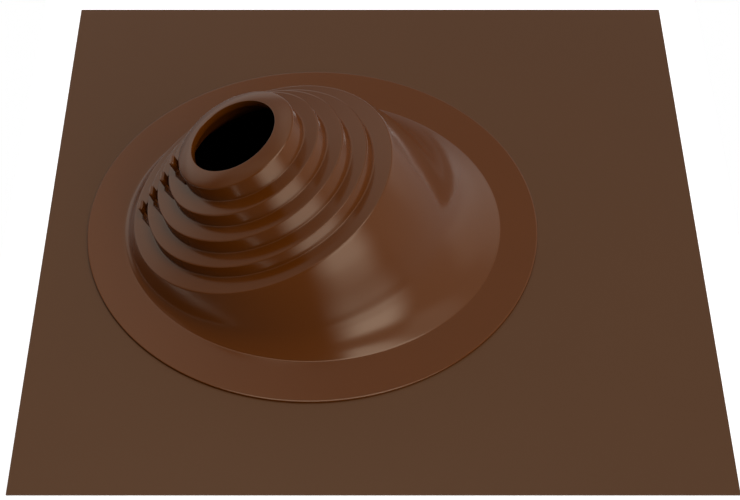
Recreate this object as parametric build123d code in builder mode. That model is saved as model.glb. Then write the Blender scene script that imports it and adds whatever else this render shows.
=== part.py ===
from build123d import *
import os
from math import cos, radians, sin, tan

os.makedirs("parts", exist_ok=True)

# Driving sizes in mm and degrees

# Painted metal sheet
sheet_width = 550.0
sheet_depth = 557.0
sheet_thickness = 1.0

# Where the boot's flange is centred on the sheet
boot_x = -50.0
boot_y = -2.0

# Flat round flange of the boot
flange_radius = 190.5
flange_thickness = 2.0
flange_edge_bevel = 0.6
flange_lap_on_sheet = 45.5

# Dome: the flange's flat land beyond the two ends and the two sides of its oval foot,
# and the shape of its side as pairs of the share of the way in and the share of the
# way up towards the lowest ring
land_at_ends = 31.5
land_at_sides = 40.0
dome_side = [
    (0.000, 0.000),
    (0.209, 0.104),
    (0.315, 0.169),
    (0.397, 0.233),
    (0.477, 0.311),
    (0.544, 0.391),
    (0.611, 0.490),
    (0.720, 0.669),
    (0.803, 0.787),
    (0.893, 0.895),
    (1.000, 1.000),
]

# Rings from the lowest and widest up to the one with the opening
lowest_ring_radius = 114.7
low_edge_height = 8.3
low_edge_inset = 8.9
body_lean = 19.6
ring_leans = [19.3, 19.9, 20.8, 22.2, 24.0]
tread_widths = [16.8, 15.1, 15.5, 15.1]
riser_heights = [12.4, 14.5, 13.8, 15.8]
tread_slope = 4.0
riser_draft = 4.0
lowest_lip_rounding = 0.7
lip_bevel = 0.6

# Opening for the pipe
opening_radius = 37.5
opening_rise = 4.7
opening_collar = 6.5
opening_edge_bevel = 0.5

# Rubber walls
wall = 3.0
tread_wall = 2.4
dome_foot_wall = 4.0

# Pull lugs with the pocket between each lug and its ring, whose walls lap into both
lug_gap = 3.8
lug_thickness = 4.2
lug_width = 11.0
lug_rise = 0.6
lug_bevel = 0.4
pocket_half_width = 17.0
pocket_side_wall = 1.4
pocket_floor_height = 2.5
pocket_lap = 1.0


def across(lean):
    return Vector(cos(radians(lean)), 0, sin(radians(lean)))


def along(lean):
    return Vector(-sin(radians(lean)), 0, cos(radians(lean)))


# Ring radii and centres, all from the sizes above: the low edge of the lowest ring
# stands just inside the dome's foot and just above the flange
flange_top = sheet_thickness + flange_thickness
foot_half_length = flange_radius - land_at_ends
foot_half_width = flange_radius - land_at_sides
top_ring = len(riser_heights)
low_edge = Vector(boot_x - foot_half_length + low_edge_inset, boot_y, flange_top + low_edge_height)
ring_radii = [lowest_ring_radius]
ring_centres = [low_edge + across(ring_leans[0]) * lowest_ring_radius]
for tread, riser in zip(tread_widths, riser_heights):
    ring_radii.append(ring_radii[-1] - tread)
    ring_centres.append(ring_centres[-1] + along(body_lean) * riser)


def ring_plane(number):
    lean = ring_leans[number]
    return Plane(origin=ring_centres[number], x_dir=across(lean), z_dir=along(lean))


def side_plane(number, turn):
    """upright plane through a ring's axis, turned about it so that no two seams lie in one plane"""
    axis = along(ring_leans[number])
    outward = across(ring_leans[number]).rotate(Axis((0, 0, 0), axis), turn)
    return Plane(origin=ring_centres[number], x_dir=outward, z_dir=outward.cross(axis))


def ring_axis(number):
    return Axis(ring_centres[number], along(ring_leans[number]))


def dome_section(share_in, share_up, inset, drop):
    """plane and half lengths of one oval section of the dome"""
    lean = radians(ring_leans[0])
    top_radius = lowest_ring_radius - inset
    run = (foot_half_length - inset) * (1 - share_in) + top_radius * cos(lean) * share_in
    rise = top_radius * sin(lean) * share_up
    x = boot_x * (1 - share_in) + ring_centres[0].X * share_in
    z = flange_top + (ring_centres[0].Z - flange_top) * share_up - drop
    plane = Plane(
        origin=(x, boot_y, z),
        x_dir=Vector(run, 0, rise).normalized(),
        z_dir=Vector(-rise, 0, run).normalized(),
    )
    length = (run**2 + rise**2) ** 0.5
    width = (foot_half_width - inset) * (1 - share_in) + top_radius * share_in
    return plane, length, width


def lies_flat_in(edge, plane):
    """whether an edge lies in a plane, within the height of a lug above its ring"""
    return all(abs(plane.to_local_coords(edge @ share).Z) < lug_rise / 10 for share in (0, 0.5, 1))


def pocket_outline(number, inset):
    """outline of a lug's pocket in its ring's plane, drawn in by the side wall"""
    radius = ring_radii[number]
    outer = -(radius + lug_gap + (0 if inset else lug_thickness - pocket_lap))
    narrow = lug_width / 2 - pocket_lap - inset
    wide = pocket_half_width - inset
    inner = -((radius**2 - pocket_half_width**2) ** 0.5) + pocket_lap
    return [(outer, -narrow), (inner, -wide), (inner, wide), (outer, narrow)]


# Sheet with its round hole under the boot
with BuildPart() as flashing_sheet:
    with BuildSketch():
        Rectangle(sheet_width, sheet_depth)
        with Locations((boot_x, boot_y)):
            Circle(flange_radius - flange_lap_on_sheet, mode=Mode.SUBTRACT)
    extrude(amount=sheet_thickness)

# Boot, moulded in one piece
with BuildPart() as rubber_boot:
    # Dome, lofted in narrow bands from its oval foot up to the lowest ring
    for share_in, share_up in dome_side:
        plane, length, width = dome_section(share_in, share_up, 0, 0)
        with BuildSketch(plane):
            Ellipse(length, width)
    loft(ruled=True)

    # Lowest tread, a shallow cone on the dome
    with BuildSketch(side_plane(0, 10)):
        with BuildLine():
            Polyline(
                (0, 0),
                (lowest_ring_radius, 0),
                (0, lowest_ring_radius * tan(radians(tread_slope))),
                close=True,
            )
        make_face()
    revolve(axis=ring_axis(0))
    lowest_lip = rubber_boot.edges().filter_by(lambda edge: lies_flat_in(edge, ring_plane(0)))
    fillet(lowest_lip, radius=lowest_lip_rounding)

    # Each further ring is a drafted disc that stands in the tread below it
    for number in range(1, len(ring_radii)):
        radius = ring_radii[number]
        depth = riser_heights[number - 1] + tread_wall / 2
        foot = (radius + depth * tan(radians(riser_draft)), -depth)
        if number == top_ring:
            crown = [(opening_radius, opening_rise), (0, opening_rise)]
        else:
            crown = [(0, radius * tan(radians(tread_slope)))]
        with BuildSketch(side_plane(number, 10 + 15 * number)):
            with BuildLine():
                Polyline((0, -depth), foot, (radius, 0), *crown, close=True)
            ring_section = make_face()
            chamfer(ring_section.vertices().sort_by(Axis.X)[-2], length=lip_bevel)
        revolve(axis=ring_axis(number))

    # Flange with its upper edge taken off
    with BuildSketch(Plane.XY.offset(sheet_thickness)):
        with Locations((boot_x, boot_y)):
            Circle(flange_radius)
    extrude(amount=flange_thickness)
    flange_rim = rubber_boot.edges().filter_by(GeomType.CIRCLE).filter_by(Plane.XY).sort_by(Axis.Z)[-1]
    chamfer(flange_rim, length=flange_edge_bevel)

    # Lug and pocket walls on the leaning side, standing on the tread below
    for number in range(1, len(ring_radii)):
        reach = ring_radii[number] + lug_gap + lug_thickness / 2
        lug_top = ring_plane(number).offset(lug_rise)
        with BuildSketch(ring_plane(number)):
            Polygon(*pocket_outline(number, 0), align=None)
        extrude(amount=-riser_heights[number - 1])
        with BuildSketch(lug_top):
            with Locations((-reach, 0)):
                SlotOverall(lug_width, lug_thickness, rotation=90)
        extrude(amount=-riser_heights[number - 1] - lug_rise)
        chamfer(rubber_boot.edges().filter_by(lambda edge: lies_flat_in(edge, lug_top)), length=lug_bevel)

    # Pocket between each lug and its ring
    for number in range(1, len(ring_radii)):
        radius = ring_radii[number]
        depth = riser_heights[number - 1] - pocket_floor_height
        with BuildSketch(ring_plane(number)):
            Polygon(*pocket_outline(number, pocket_side_wall), align=None)
            Circle(radius, mode=Mode.SUBTRACT)
        extrude(amount=-depth, mode=Mode.SUBTRACT)

    # Hollow inside of the dome, open through the flange
    with BuildSketch(Plane.XY.offset(sheet_thickness)):
        with Locations((boot_x, boot_y)):
            Ellipse(foot_half_length - dome_foot_wall, foot_half_width - dome_foot_wall)
    extrude(amount=flange_thickness, mode=Mode.SUBTRACT)
    for share_in, share_up in dome_side:
        inset = dome_foot_wall + (wall - dome_foot_wall) * share_up
        plane, length, width = dome_section(share_in, share_up, inset, tread_wall * share_up)
        with BuildSketch(plane):
            Ellipse(length, width)
    loft(ruled=True, mode=Mode.SUBTRACT)

    # Hollow inside of each ring
    for number in range(1, len(ring_radii)):
        radius = ring_radii[number] - wall
        depth = riser_heights[number - 1] + 2 * tread_wall
        top = opening_rise - opening_collar if number == top_ring else -tread_wall
        with BuildSketch(side_plane(number, 100 + 15 * number)):
            with BuildLine():
                Polyline(
                    (0, -depth),
                    (radius + depth * tan(radians(riser_draft)), -depth),
                    (radius, top),
                    (0, top),
                    close=True,
                )
            make_face()
        revolve(axis=ring_axis(number), mode=Mode.SUBTRACT)

    # Opening for the pipe, both its edges taken off
    flared_radius = opening_radius + opening_edge_bevel
    opening_bottom = opening_rise - opening_collar
    with BuildSketch(side_plane(top_ring, 200)):
        with BuildLine():
            Polyline(
                (0, opening_bottom),
                (flared_radius, opening_bottom),
                (opening_radius, opening_bottom + opening_edge_bevel),
                (opening_radius, opening_rise - opening_edge_bevel),
                (flared_radius, opening_rise),
                (0, opening_rise),
                close=True,
            )
        make_face()
    revolve(axis=ring_axis(top_ring), mode=Mode.SUBTRACT)

flashing_sheet.part.label = "flashing_sheet"
rubber_boot.part.label = "rubber_boot"
export_step(flashing_sheet.part, "parts/flashing_sheet.step")
export_step(rubber_boot.part, "parts/rubber_boot.step")
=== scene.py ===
from math import cos, pi, radians, sin, tan

import bpy
import numpy as np
from mathutils import Euler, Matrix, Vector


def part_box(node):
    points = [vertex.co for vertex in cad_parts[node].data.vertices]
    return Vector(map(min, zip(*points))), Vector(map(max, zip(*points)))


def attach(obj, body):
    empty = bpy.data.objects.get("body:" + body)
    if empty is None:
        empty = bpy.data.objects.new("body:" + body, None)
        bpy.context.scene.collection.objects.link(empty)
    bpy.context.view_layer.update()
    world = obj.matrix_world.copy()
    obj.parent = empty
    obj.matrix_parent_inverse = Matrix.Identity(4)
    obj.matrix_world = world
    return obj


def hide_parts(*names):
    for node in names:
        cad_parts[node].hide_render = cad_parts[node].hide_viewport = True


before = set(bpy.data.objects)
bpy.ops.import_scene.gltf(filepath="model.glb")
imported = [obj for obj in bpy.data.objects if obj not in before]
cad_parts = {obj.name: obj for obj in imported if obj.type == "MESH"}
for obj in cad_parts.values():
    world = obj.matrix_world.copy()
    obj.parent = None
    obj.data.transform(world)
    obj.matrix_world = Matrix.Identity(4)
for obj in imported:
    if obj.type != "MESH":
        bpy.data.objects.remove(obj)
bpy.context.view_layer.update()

# Sizes of the boot, in metres and degrees. The dome's side is eased by up to 1.5 mm from the CAD
# source, to the curve that the photograph's highlights show, and the webs and the crown of the
# lugs are finer than the CAD source has them. The other sizes here are the same as there.
MM = 0.001
SHEET_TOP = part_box("flashing_sheet")[1].z
BOOT_X = -50 * MM
BOOT_Y = -2 * MM
FLANGE_RADIUS = 190.5 * MM
FLANGE_TOP = SHEET_TOP + 2 * MM
FOOT_LENGTH = 318 * MM
FOOT_WIDTH = 301 * MM
DOME_SLOPES = [  # share of the way in from the foot, and how steep the dome's side is there
    (0.00, 0.45),
    (0.10, 0.48),
    (0.20, 0.56),
    (0.30, 0.70),
    (0.37, 0.84),
    (0.42, 0.98),
    (0.46, 1.12),
    (0.50, 1.27),
    (0.54, 1.38),
    (0.58, 1.40),
    (0.64, 1.36),
    (0.72, 1.28),
    (0.80, 1.22),
    (0.90, 1.14),
    (1.00, 1.05),
]
DOME_STATIONS = [0, 0.10, 0.20, 0.30, 0.37, 0.42, 0.46, 0.49, 0.52, 0.55, 0.60, 0.66, 0.72, 0.803, 0.893, 1]
LOWEST_RADIUS = 114.7 * MM
LOW_EDGE_HEIGHT = 8.3 * MM
LOW_EDGE_INSET = 8.9 * MM
BODY_LEAN = radians(19.6)
RING_LEANS = [radians(lean) for lean in (19.3, 19.9, 20.8, 22.2, 24.0)]
TREADS = [16.8 * MM, 15.1 * MM, 15.5 * MM, 15.1 * MM]
RISERS = [12.4 * MM, 14.5 * MM, 13.8 * MM, 15.8 * MM]
TREAD_SLOPE = tan(radians(4))
RISER_DRAFT = tan(radians(4))
OPENING_RADIUS = 37.5 * MM
OPENING_RISE = 4.7 * MM
OPENING_COLLAR = 6.5 * MM
WALL = 3 * MM
TREAD_WALL = 2.4 * MM
FOOT_WALL = 4 * MM
LUG_GAP = 3.8 * MM
LUG_THICKNESS = 4.2 * MM
LUG_WIDTH = 11 * MM
LUG_RISE = 0.6 * MM
LUG_FOOT_DEPTH = 0.8 * MM
POCKET_HALF_WIDTH = 17 * MM
POCKET_SIDE_WALL = 1.4 * MM
WEB_LAP = 1 * MM
WEB_SPREAD = 5 * MM
WEB_DROP = 0.45
LUG_CROWN = [(1.0 * MM, 0), (0.4 * MM, 0.25 * MM), (0.1 * MM, 0.6 * MM), (0, 1.0 * MM)]

# Small radii of the moulded edges
LIP_ROUNDING = 1.1 * MM
FOOT_ROUNDING = 0.7 * MM
EDGE_ROUNDING = 0.5 * MM
FLANGE_ROUNDING = 0.8 * MM
INSIDE_ROUNDING = 0.4 * MM
UNDERSIDE_ROUNDING = 0.1 * MM
EDGE_MARGIN = 1.6 * MM

# Colours, as linear red, green and blue
RUBBER_DARK = (0.086, 0.0198, 0.0006)
RUBBER_LIGHT = (0.094, 0.0218, 0.0009)
PAINT_DARK = (0.068, 0.0215, 0.004)
PAINT_LIGHT = (0.074, 0.0235, 0.0045)
SHEEN_TINT = (1.0, 0.81, 0.61, 1.0)
IOR = 1.5
# near-black painted on the floor under the sheet: painted shade for the dark seen through the boot's opening
PAINTED_SHADE_UNDER_BOOT = (0.004, 0.003, 0.003)
FLOOR_PALE = (0.8, 0.8, 0.8)
WHITE = (1, 1, 1, 1)

# Surface detail: scale and octaves of each noise, the span of each roughness, and the strength
# and height of each bump
RUBBER_CLOUDS = (14, 3)
RUBBER_SHEEN_CHANGE = (40, 4)
RUBBER_GRAIN = (1400, 2)
RUBBER_ROUGHNESS = (0.13, 0.16)
RUBBER_GRAIN_STRENGTH = 0.05
RUBBER_GRAIN_HEIGHT = 0.2 * MM
PAINT_CLOUDS = (6, 4)
PAINT_SHEEN_CHANGE = (30, 4)
PAINT_PEEL = (700, 2)
PAINT_ROUGHNESS = (0.4, 0.46)
PAINT_PEEL_STRENGTH = 0.06
PAINT_PEEL_HEIGHT = 0.3 * MM

# Sockets of the mix node for colours, which share their names with its sockets for numbers
MIX_FIRST_COLOUR = 6
MIX_SECOND_COLOUR = 7
MIX_COLOUR_RESULT = 2

# Light panels: middle, half width and softness in azimuth, low and high edge and softness in
# elevation, all in degrees, and the brightness added; azimuth 0 is +X and -90 the camera's side
AMBIENT = 0.16
PANELS = [
    (-44, 20, 12, -12, 9, 3, 2.4),
    (-44, 20, 13, 9, 17, 3, 0.9),
    (-44, 20, 13, 17, 49, 3, 2.9),
    (-44, 17, 11, 30, 49, 3, 0.9),
    (-20, 42, 6, 64, 80, 1.5, 3.4),
    (-25, 45, 10, 49, 66, 3, 0.5),
    (25, 42, 8, -8, 62, 6, 0.5),
    (42, 20, 8, 6, 36, 6, 0.3),
    (105, 42, 8, -10, 48, 5, 0.25),
    (105, 42, 8, 48, 76, 5, 0.35),
    (115, 28, 8, 2, 18, 4, 0.4),
    (110, 12, 9, 30, 70, 8, 0.5),
    (140, 14, 6, 14, 30, 4, 0.6),
    (165, 25, 8, 38, 70, 6, 0.25),
]
FLOOR_HALF = 0.31
FLOOR_GLOW = 0.6
OVERHEAD_HEIGHT = 2.0
OVERHEAD_HALF_ANGLE = 17
OVERHEAD_BRIGHTNESS = 2.4

# Camera: place in metres, tilt in degrees, lens and sensor in mm, shift as shares of the width
CAMERA_PLACE = (-0.0105, -1.0640, 1.1368)
CAMERA_TILT = 42.27
CAMERA_LENS = 89.03
CAMERA_SENSOR = 36
CAMERA_SHIFT = (0.0146, 0.0007)
CAMERA_NEAR = 0.05

# How finely the boot's skin is divided
AROUND = 384
DOME_STEPS = 4
SLOPE_STEPS = 40
ARC_STEPS = 2
LUG_END_STEPS = 12
HALVINGS = 40
SHARP_ANGLE = 38

TURN = np.arange(AROUND) * 2 * pi / AROUND
Y_AXIS = np.array([0.0, 1.0, 0.0])


def across(lean):
    return np.array([cos(lean), 0.0, sin(lean)])


def along(lean):
    return np.array([-sin(lean), 0.0, cos(lean)])


def ring_sizes():
    """radius and centre of each ring, from the lowest up"""
    low_edge = np.array([BOOT_X - FOOT_LENGTH / 2 + LOW_EDGE_INSET, BOOT_Y, FLANGE_TOP + LOW_EDGE_HEIGHT])
    radii = [LOWEST_RADIUS]
    centres = [low_edge + across(RING_LEANS[0]) * LOWEST_RADIUS]
    for tread, riser in zip(TREADS, RISERS):
        radii.append(radii[-1] - tread)
        centres.append(centres[-1] + along(BODY_LEAN) * riser)
    return radii, centres


RADII, CENTRES = ring_sizes()
TOP_RING = len(RADII) - 1


def outward(number):
    """unit vectors that point out from a ring's axis, one for each step around"""
    lean = RING_LEANS[number]
    return np.outer(np.cos(TURN), across(lean)) + np.outer(np.sin(TURN), Y_AXIS)


def ring_loop(number, radius, height):
    """loop about a ring's axis at a height above its lip"""
    return CENTRES[number] + outward(number) * radius + along(RING_LEANS[number]) * height


def on_tread(number, margin):
    """loop on a ring's tread a little way in from its lip"""
    slope = (OPENING_RISE / (RADII[number] - OPENING_RADIUS)) if number == TOP_RING else TREAD_SLOPE
    return ring_loop(number, RADII[number] - margin, margin * slope)


def flat_loop(half_length, half_width, height):
    """level oval loop about the middle of the flange"""
    centre = np.array([BOOT_X, BOOT_Y, height])
    x_part = np.outer(np.cos(TURN) * half_length, [1.0, 0.0, 0.0])
    return centre + x_part + np.outer(np.sin(TURN) * half_width, Y_AXIS)


def dome_loop(share_in, share_up, inset, drop):
    """oval loop on the dome between its foot and the lowest ring"""
    top_radius = LOWEST_RADIUS - inset
    run = (FOOT_LENGTH / 2 - inset) * (1 - share_in) + top_radius * cos(RING_LEANS[0]) * share_in
    rise = top_radius * sin(RING_LEANS[0]) * share_up
    width = (FOOT_WIDTH / 2 - inset) * (1 - share_in) + top_radius * share_in
    centre = np.array([
        BOOT_X * (1 - share_in) + CENTRES[0][0] * share_in,
        BOOT_Y,
        FLANGE_TOP + (CENTRES[0][2] - FLANGE_TOP) * share_up - drop,
    ])
    return centre + np.outer(np.cos(TURN), [run, 0.0, rise]) + np.outer(np.sin(TURN) * width, Y_AXIS)


def down_riser(number, inset, start, lands):
    """loop where a ring's drafted wall, followed down from its lip, comes to where lands is zero"""
    slide = outward(number) * RISER_DRAFT - along(RING_LEANS[number])
    lip = ring_loop(number, RADII[number] - inset, start)
    near = np.zeros(AROUND)
    far = np.full(AROUND, 2 * RISERS[number - 1])
    for _ in range(HALVINGS):
        middle = (near + far) / 2
        above = lands(lip + slide * middle[:, None]) > 0
        near = np.where(above, middle, near)
        far = np.where(above, far, middle)
    return lip + slide * near[:, None]


def above_tread(number):
    """function that gives how far points are above a ring's tread"""
    axis = along(RING_LEANS[number])

    def measure(points):
        arm = points - CENTRES[number]
        height = arm @ axis
        radius = np.linalg.norm(arm - np.outer(height, axis), axis=1)
        return height - (RADII[number] - radius) * TREAD_SLOPE

    return measure


def above_roof(number):
    """function that gives how far points are above the flat roof under a ring's tread"""
    axis = along(RING_LEANS[number])

    def measure(points):
        return (points - CENTRES[number]) @ axis + TREAD_WALL

    return measure


def smooth_through(rows, steps):
    """loops on a natural cubic curve through the given loops, ends included"""
    rows = np.array(rows)
    count = len(rows)
    matrix = np.diag([2.0] + [4.0] * (count - 2) + [2.0])
    matrix += np.diag(np.ones(count - 1), 1) + np.diag(np.ones(count - 1), -1)
    right = np.empty_like(rows)
    right[0] = 3 * (rows[1] - rows[0])
    right[-1] = 3 * (rows[-1] - rows[-2])
    right[1:-1] = 3 * (rows[2:] - rows[:-2])
    slopes = np.linalg.solve(matrix, right.reshape(count, -1)).reshape(rows.shape)
    loops = [rows[0]]
    for index in range(count - 1):
        for step in range(1, steps + 1):
            t = step / steps
            loops.append(
                rows[index] * (2 * t**3 - 3 * t**2 + 1)
                + slopes[index] * (t**3 - 2 * t**2 + t)
                + rows[index + 1] * (3 * t**2 - 2 * t**3)
                + slopes[index + 1] * (t**3 - t**2)
            )
    return loops


def dome_side():
    """pairs of the share of the way in and the share of the way up, from the slopes of the side"""
    share_in, slope = np.array(smooth_through(DOME_SLOPES, SLOPE_STEPS)).T
    climb = np.diff(share_in) * (slope[1:] + slope[:-1]) / 2
    share_up = np.concatenate([[0], np.cumsum(climb)])
    return list(zip(DOME_STATIONS, np.interp(DOME_STATIONS, share_in, share_up / share_up[-1])))


def rounded(before, corner, after, radius):
    """loops of the arc that rounds a corner between two neighbouring loops"""
    to_before = before - corner
    to_after = after - corner
    u = to_before / np.linalg.norm(to_before, axis=1, keepdims=True)
    w = to_after / np.linalg.norm(to_after, axis=1, keepdims=True)
    half_angle = np.arccos(np.clip(np.sum(u * w, axis=1), -1, 1))[:, None] / 2
    middle = u + w
    middle /= np.linalg.norm(middle, axis=1, keepdims=True)
    centre = corner + middle * radius / np.sin(half_angle)
    first = corner + u * radius / np.tan(half_angle) - centre
    last = corner + w * radius / np.tan(half_angle) - centre
    sweep = pi - 2 * half_angle
    arc = []
    for step in range(ARC_STEPS + 1):
        share = step / ARC_STEPS
        turned = np.sin((1 - share) * sweep) * first + np.sin(share * sweep) * last
        arc.append(centre + turned / np.sin(sweep))
    return arc


def boot_corners():
    """corner loops of the boot's skin from the opening down the outside and up the inside"""
    side = dome_side()
    corners = [
        (ring_loop(TOP_RING, OPENING_RADIUS, OPENING_RISE - OPENING_COLLAR), INSIDE_ROUNDING),
        (ring_loop(TOP_RING, OPENING_RADIUS, OPENING_RISE), EDGE_ROUNDING),
        (on_tread(TOP_RING, EDGE_MARGIN), 0),
        (ring_loop(TOP_RING, RADII[TOP_RING], 0), LIP_ROUNDING),
    ]
    for number in range(TOP_RING, 0, -1):
        foot = down_riser(number, 0, 0, above_tread(number - 1))
        lip = ring_loop(number - 1, RADII[number - 1], 0)
        gap = lip - foot
        share = EDGE_MARGIN / np.linalg.norm(gap, axis=1, keepdims=True)
        corners += [
            (foot, FOOT_ROUNDING),
            (foot + gap * share, 0),
            (lip - gap * share, 0),
            (lip, LIP_ROUNDING),
        ]
    outside = [dome_loop(share_in, share_up, 0, 0) for share_in, share_up in reversed(side)]
    corners += [(loop, 0) for loop in smooth_through(outside, DOME_STEPS)[1:-1]]
    corners += [
        (outside[-1], FOOT_ROUNDING),
        (flat_loop(FOOT_LENGTH / 2 + EDGE_MARGIN, FOOT_WIDTH / 2 + EDGE_MARGIN, FLANGE_TOP), 0),
        (flat_loop(FLANGE_RADIUS - EDGE_MARGIN, FLANGE_RADIUS - EDGE_MARGIN, FLANGE_TOP), 0),
        (flat_loop(FLANGE_RADIUS, FLANGE_RADIUS, FLANGE_TOP), FLANGE_ROUNDING),
        (flat_loop(FLANGE_RADIUS, FLANGE_RADIUS, SHEET_TOP), UNDERSIDE_ROUNDING),
        (flat_loop(FOOT_LENGTH / 2 - FOOT_WALL, FOOT_WIDTH / 2 - FOOT_WALL, SHEET_TOP), INSIDE_ROUNDING),
    ]
    inside = []
    for share_in, share_up in side:
        inset = FOOT_WALL + (WALL - FOOT_WALL) * share_up
        inside.append(dome_loop(share_in, share_up, inset, TREAD_WALL * share_up))
    corners += [(loop, 0) for loop in smooth_through(inside, DOME_STEPS)[:-1]]
    corners.append((inside[-1], INSIDE_ROUNDING))
    for number in range(1, TOP_RING + 1):
        roof = OPENING_RISE - OPENING_COLLAR if number == TOP_RING else -TREAD_WALL
        corners.append((down_riser(number, WALL, roof, above_roof(number - 1)), INSIDE_ROUNDING))
        corners.append((ring_loop(number, RADII[number] - WALL, roof), INSIDE_ROUNDING))
    return corners


def skin_loops():
    """all loops of the boot's skin, with an arc at each rounded corner"""
    corners = boot_corners()
    loops = []
    for index, (corner, radius) in enumerate(corners):
        if radius:
            before = corners[index - 1][0]
            after = corners[(index + 1) % len(corners)][0]
            loops += rounded(before, corner, after, radius)
        else:
            loops.append(corner)
    return loops


def new_object(name, points, faces):
    mesh = bpy.data.meshes.new(name)
    mesh.from_pydata([tuple(point) for point in points], [], faces)
    mesh.validate()
    piece = bpy.data.objects.new(name, mesh)
    bpy.context.scene.collection.objects.link(piece)
    return piece


def closed_tube(name, loops):
    """mesh of loops joined each to the next and the last to the first"""
    count = len(loops)
    faces = []
    for row in range(count):
        below = (row + 1) % count
        for column in range(AROUND):
            side = (column + 1) % AROUND
            faces.append((
                row * AROUND + column,
                below * AROUND + column,
                below * AROUND + side,
                row * AROUND + side,
            ))
    return new_object(name, np.concatenate(loops), faces)


def drawn_in(outline, inset):
    """outline moved towards its middle"""
    outline = np.array(outline)
    centre = outline.mean(axis=0)
    reach = np.linalg.norm(outline - centre, axis=1, keepdims=True)
    return centre + (outline - centre) * (1 - inset / reach)


def prism(name, number, levels):
    """solid through outlines in a ring's plane, each at a height above it, from the lowest up"""
    lean = RING_LEANS[number]
    points = []
    for height, outline in levels:
        outline = np.array(outline)
        points.append(
            CENTRES[number]
            + np.outer(outline[:, 0], across(lean))
            + np.outer(outline[:, 1], Y_AXIS)
            + along(lean) * height
        )
    count = len(points[0])
    faces = [tuple(reversed(range(count)))]
    for row in range(len(levels) - 1):
        for column in range(count):
            side = (column + 1) % count
            faces.append((
                row * count + column,
                row * count + side,
                (row + 1) * count + side,
                (row + 1) * count + column,
            ))
    last = (len(levels) - 1) * count
    faces.append(tuple(last + column for column in range(count)))
    return new_object(name, np.concatenate(points), faces)


def lug_outline(number):
    """rounded plan of a lug, long across the lean"""
    end = LUG_THICKNESS / 2
    middle = -(RADII[number] + LUG_GAP + end)
    outline = []
    for side in (1, -1):
        for step in range(LUG_END_STEPS + 1):
            angle = pi * step / LUG_END_STEPS + (0 if side > 0 else pi)
            outline.append((
                middle + end * cos(angle),
                side * (LUG_WIDTH / 2 - end) + end * sin(angle),
            ))
    return outline


def web_outline(number, side, spread):
    """plan of the web from one end of a lug to its ring, its outer side moved out by a spread"""
    radius = RADII[number]
    lug_end = np.array([-(radius + LUG_GAP + LUG_THICKNESS / 2), side * (LUG_WIDTH / 2 - LUG_THICKNESS / 2)])
    ring_end = np.array([-((radius**2 - POCKET_HALF_WIDTH**2) ** 0.5) + WEB_LAP, side * POCKET_HALF_WIDTH])
    run = (ring_end - lug_end) / np.linalg.norm(ring_end - lug_end)
    outward_side = np.array([-run[1], run[0]]) * side
    inner = -outward_side * POCKET_SIDE_WALL / 2
    outer = outward_side * (POCKET_SIDE_WALL / 2 + spread)
    outline = [lug_end + outer, lug_end + inner, ring_end + inner, ring_end + outer]
    return outline if side > 0 else outline[::-1]


def join_solid(base, tool):
    """unites a second solid with the base and takes it away"""
    modifier = base.modifiers.new("join", "BOOLEAN")
    modifier.operation = "UNION"
    modifier.solver = "MANIFOLD"
    modifier.object = tool
    with bpy.context.temp_override(object=base, active_object=base):
        bpy.ops.object.modifier_apply(modifier=modifier.name)
    bpy.data.objects.remove(tool)


def add_lugs(boot):
    """pull lugs on the low side of each step, each with the two webs of its pocket"""
    for number in range(1, TOP_RING + 1):
        foot = -RISERS[number - 1] - LUG_FOOT_DEPTH
        plan = lug_outline(number)
        lug = prism("lug", number, [(foot, plan)] + [
            (LUG_RISE - drop, drawn_in(plan, inset)) for drop, inset in LUG_CROWN
        ])
        for side in (1, -1):
            web = prism("web", number, [
                (foot, web_outline(number, side, WEB_SPREAD)),
                (-RISERS[number - 1] * WEB_DROP, web_outline(number, side, 0)),
            ])
            join_solid(lug, web)
        join_solid(boot, lug)


def make_boot():
    boot = closed_tube("boot_skin", skin_loops())
    add_lugs(boot)
    boot.data.shade_smooth()
    boot.data.set_sharp_from_angle(angle=radians(SHARP_ANGLE))
    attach(boot, "root")
    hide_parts("rubber_boot")
    return boot


class Nodes:
    """short way to write a node tree"""

    def __init__(self, tree):
        self.tree = tree
        tree.nodes.clear()

    def add(self, kind, links=(), **values):
        """node of a kind with its settings, and its inputs joined by name"""
        node = self.tree.nodes.new(kind)
        for name, value in values.items():
            setattr(node, name, value)
        for name, source in dict(links).items():
            if isinstance(source, bpy.types.NodeSocket):
                self.tree.links.new(source, node.inputs[name])
            else:
                node.inputs[name].default_value = source
        return node


def blend_colours(nodes, factor, first, second):
    mix = nodes.add("ShaderNodeMix", data_type="RGBA")
    nodes.tree.links.new(factor, mix.inputs["Factor"])
    mix.inputs[MIX_FIRST_COLOUR].default_value = (*first, 1)
    mix.inputs[MIX_SECOND_COLOUR].default_value = (*second, 1)
    return mix.outputs[MIX_COLOUR_RESULT]


def blotches(nodes, place, size):
    scale, detail = size
    noise = nodes.add("ShaderNodeTexNoise", {"Vector": place, "Scale": scale, "Detail": detail})
    return noise.outputs["Fac"]


def satin_material(name, colours, clouds, sheen_change, roughness, grain, strength, height):
    """satin surface: faint clouding between two colours, uneven roughness and a fine bumpy grain"""
    material = bpy.data.materials.new(name)
    material.use_nodes = True
    nodes = Nodes(material.node_tree)
    place = nodes.add("ShaderNodeTexCoord").outputs["Object"]
    colour = blend_colours(nodes, blotches(nodes, place, clouds), *colours)
    rough = nodes.add("ShaderNodeMapRange", {
        "Value": blotches(nodes, place, sheen_change), "To Min": roughness[0], "To Max": roughness[1],
    })
    bump = nodes.add("ShaderNodeBump", {
        "Height": blotches(nodes, place, grain), "Strength": strength, "Distance": height,
    })
    shader = nodes.add("ShaderNodeBsdfPrincipled", {
        "Base Color": colour,
        "Roughness": rough.outputs["Result"],
        "Normal": bump.outputs["Normal"],
        "IOR": IOR,
        "Specular Tint": SHEEN_TINT,
    })
    nodes.add("ShaderNodeOutputMaterial", {"Surface": shader.outputs["BSDF"]})
    return material


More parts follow.
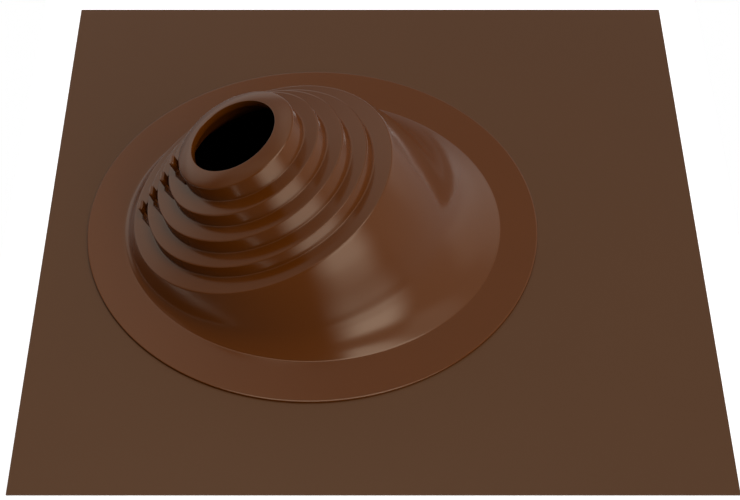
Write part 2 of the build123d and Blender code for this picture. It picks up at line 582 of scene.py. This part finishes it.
def rubber_material():
    """moulded rubber: even brown with a very fine grain"""
    return satin_material(
        "boot_rubber", (RUBBER_DARK, RUBBER_LIGHT), RUBBER_CLOUDS, RUBBER_SHEEN_CHANGE, RUBBER_ROUGHNESS,
        RUBBER_GRAIN, RUBBER_GRAIN_STRENGTH, RUBBER_GRAIN_HEIGHT,
    )


def paint_material():
    """paint on sheet metal: even brown with a faint orange peel"""
    return satin_material(
        "painted_sheet", (PAINT_DARK, PAINT_LIGHT), PAINT_CLOUDS, PAINT_SHEEN_CHANGE, PAINT_ROUGHNESS,
        PAINT_PEEL, PAINT_PEEL_STRENGTH, PAINT_PEEL_HEIGHT,
    )


def make_floor():
    """pale floor that shows white round the object, painted near-black under the sheet as painted shade seen
    through the boot's opening
    """
    half = FLOOR_HALF
    corners = [(-half, -half, 0), (half, -half, 0), (half, half, 0), (-half, half, 0)]
    floor = new_object("floor", corners, [(0, 1, 2, 3)])
    material = bpy.data.materials.new("pale_floor")
    material.use_nodes = True
    nodes = Nodes(material.node_tree)
    place = nodes.add("ShaderNodeTexCoord").outputs["Object"]
    middle = nodes.add("ShaderNodeVectorMath", {0: place, 1: (BOOT_X, BOOT_Y, 0)}, operation="DISTANCE")
    far = {0: middle.outputs["Value"], 1: FLANGE_RADIUS}
    outside = nodes.add("ShaderNodeMath", far, operation="GREATER_THAN")
    # painted shade: near-black on the floor within the flange's reach, pale floor outside it
    tone = blend_colours(nodes, outside.outputs[0], PAINTED_SHADE_UNDER_BOOT, FLOOR_PALE)
    paths = nodes.add("ShaderNodeLightPath").outputs
    seen = paths["Is Camera Ray"]
    for other in ("Is Glossy Ray", "Is Transmission Ray"):
        seen = nodes.add("ShaderNodeMath", {0: seen, 1: paths[other]}, operation="MAXIMUM").outputs[0]
    lit = nodes.add("ShaderNodeMath", {0: seen, 1: outside.outputs[0]}, operation="MULTIPLY")
    glow = nodes.add("ShaderNodeEmission", {"Color": WHITE, "Strength": FLOOR_GLOW})
    pale = nodes.add("ShaderNodeBsdfDiffuse", {"Color": tone})
    both = nodes.add("ShaderNodeAddShader", {0: pale.outputs[0], 1: glow.outputs[0]})
    mix = nodes.add("ShaderNodeMixShader", {0: lit.outputs[0], 1: pale.outputs[0], 2: both.outputs[0]})
    nodes.add("ShaderNodeOutputMaterial", {"Surface": mix.outputs[0]})
    floor.data.materials.append(material)


def window(nodes, value, middle, half, soft):
    """one inside a span of a value and nothing outside it, with soft ends"""
    away = nodes.add("ShaderNodeMath", {0: value, 1: middle}, operation="SUBTRACT")
    turned = nodes.add("ShaderNodeMath", {0: away.outputs[0], 1: pi, 2: -pi}, operation="WRAP")
    size = nodes.add("ShaderNodeMath", {0: turned.outputs[0]}, operation="ABSOLUTE")
    return nodes.add("ShaderNodeMapRange", {
        "Value": size.outputs[0], "From Min": half + soft, "From Max": half - soft,
    }, interpolation_type="SMOOTHSTEP").outputs["Result"]


def make_world():
    """studio of soft light panels round the object, and white wherever the camera sees past the floor"""
    world = bpy.data.worlds.new("studio")
    world.use_nodes = True
    bpy.context.scene.world = world
    nodes = Nodes(world.node_tree)
    direction = nodes.add("ShaderNodeTexCoord").outputs["Generated"]
    parts = nodes.add("ShaderNodeSeparateXYZ", {"Vector": direction}).outputs
    azimuth = nodes.add("ShaderNodeMath", {0: parts["Y"], 1: parts["X"]}, operation="ARCTAN2").outputs[0]
    elevation = nodes.add("ShaderNodeMath", {0: parts["Z"]}, operation="ARCSINE").outputs[0]
    level = AMBIENT
    for centre, half_width, side_soft, low, high, end_soft, brightness in PANELS:
        wide = window(nodes, azimuth, radians(centre), radians(half_width), radians(side_soft))
        middle, half_height = radians((low + high) / 2), radians((high - low) / 2)
        tall = window(nodes, elevation, middle, half_height, radians(end_soft))
        panel = nodes.add("ShaderNodeMath", {0: wide, 1: tall}, operation="MULTIPLY").outputs[0]
        added = {0: panel, 1: brightness, 2: level}
        level = nodes.add("ShaderNodeMath", added, operation="MULTIPLY_ADD").outputs[0]
    paths = nodes.add("ShaderNodeLightPath").outputs
    strength = nodes.add("ShaderNodeMath", {0: level, 1: paths["Is Camera Ray"]}, operation="MAXIMUM")
    glow = nodes.add("ShaderNodeBackground", {"Color": WHITE, "Strength": strength.outputs[0]})
    nodes.add("ShaderNodeOutputWorld", {"Surface": glow.outputs[0]})


def overhead_light():
    """large soft box straight above the object"""
    data = bpy.data.lights.new("overhead", "AREA")
    data.shape = "DISK"
    data.size = 2 * OVERHEAD_HEIGHT * tan(radians(OVERHEAD_HALF_ANGLE))
    data.energy = OVERHEAD_BRIGHTNESS * pi * pi * data.size**2 / 4
    light = bpy.data.objects.new("overhead", data)
    light.location = (BOOT_X, BOOT_Y, OVERHEAD_HEIGHT)
    bpy.context.scene.collection.objects.link(light)


def make_camera():
    """camera at the photograph's place, found from the sheet's four corners"""
    data = bpy.data.cameras.new("camera")
    data.sensor_width = CAMERA_SENSOR
    data.lens = CAMERA_LENS
    data.shift_x, data.shift_y = CAMERA_SHIFT
    data.clip_start = CAMERA_NEAR
    camera = bpy.data.objects.new("camera", data)
    camera.location = CAMERA_PLACE
    camera.rotation_euler = Euler((radians(CAMERA_TILT), 0, 0))
    bpy.context.scene.collection.objects.link(camera)
    bpy.context.scene.camera = camera


def dress_sheet():
    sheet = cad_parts["flashing_sheet"]
    sheet.data.materials.clear()
    sheet.data.materials.append(paint_material())


boot = make_boot()
boot.data.materials.clear()
boot.data.materials.append(rubber_material())
dress_sheet()
make_floor()
make_world()
overhead_light()
make_camera()
bpy.context.scene.view_settings.view_transform = "Standard"
